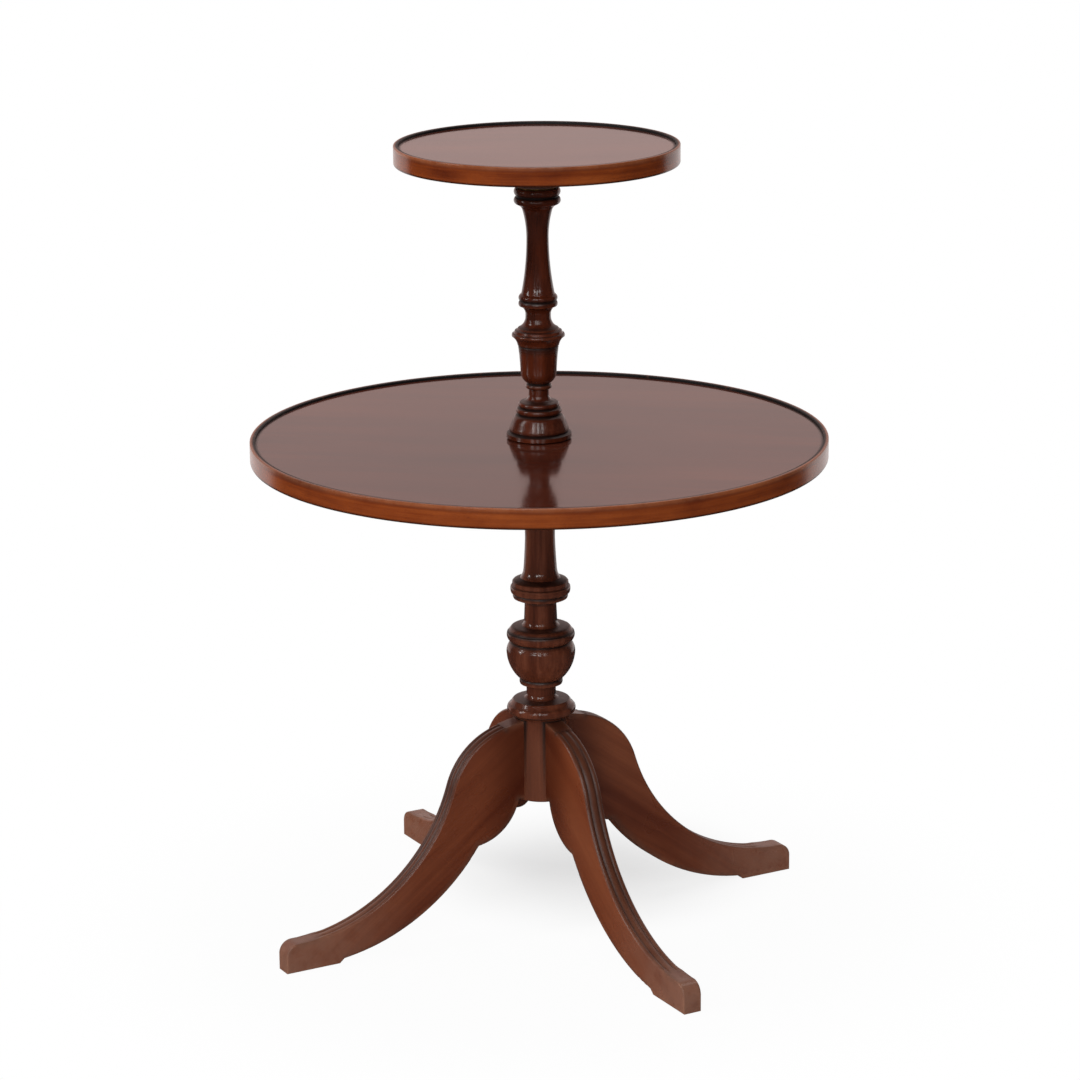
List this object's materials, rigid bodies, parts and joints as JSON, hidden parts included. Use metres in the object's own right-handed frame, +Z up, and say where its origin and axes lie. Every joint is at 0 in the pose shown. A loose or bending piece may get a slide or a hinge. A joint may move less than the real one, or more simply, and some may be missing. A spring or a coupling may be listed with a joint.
{
  "type": "two-tier side table",
  "caption": "Dumb waiter side table: round rimmed tiers that revolve on a turned column with outswept sabre legs, reeded on top, in polished mahogany.",
  "frame": {"origin": "on the floor under the centre of the column", "axes": "+Z up along the column and both tier pivots; the legs stand on the diagonals between X and Y, with the front towards -Y"},
  "size_m": [0.61, 0.61, 0.8532],
  "materials": {
    "column_mahogany": "french polished, dark red-brown",
    "leg_mahogany": "french polished, worn paler at the arrises",
    "tier_mahogany": "french polished, high gloss",
    "rim_mahogany": "french polished, red-brown",
    "underside_mahogany": "stained, dull",
    "steel": "plain turned steel",
    "brass": "plain turned brass"
  },
  "bodies": {
    "stand": {"lower_column": "column_mahogany", "leg_front_left": "leg_mahogany", "leg_front_right": "leg_mahogany", "leg_back_right": "leg_mahogany", "leg_back_left": "leg_mahogany", "centre_stud": "steel", "lower_bush": "brass", "lower_washer": "brass", "upper_column": "column_mahogany", "upper_pin": "steel", "upper_washer": "brass"},
    "lower_tier": {"lower_tier_board": "tier_mahogany", "lower_tier_rim": "rim_mahogany", "lower_tier_bearer": "underside_mahogany", "lower_tier_screws": "steel"},
    "upper_tier": {"upper_tier_board": "tier_mahogany", "upper_tier_rim": "rim_mahogany", "upper_tier_boss": "underside_mahogany", "upper_bush": "brass", "upper_tier_screws": "steel"}
  },
  "joints": [
    {"name": "lower_tier_turn", "type": "hinge", "parent": "stand", "child": "lower_tier", "pos_m": [0, 0, 0.512], "axis": [0, 0, 1], "continuous": true},
    {"name": "upper_tier_turn", "type": "hinge", "parent": "stand", "child": "upper_tier", "pos_m": [0, 0, 0.818], "axis": [0, 0, 1], "continuous": true}
  ]
}
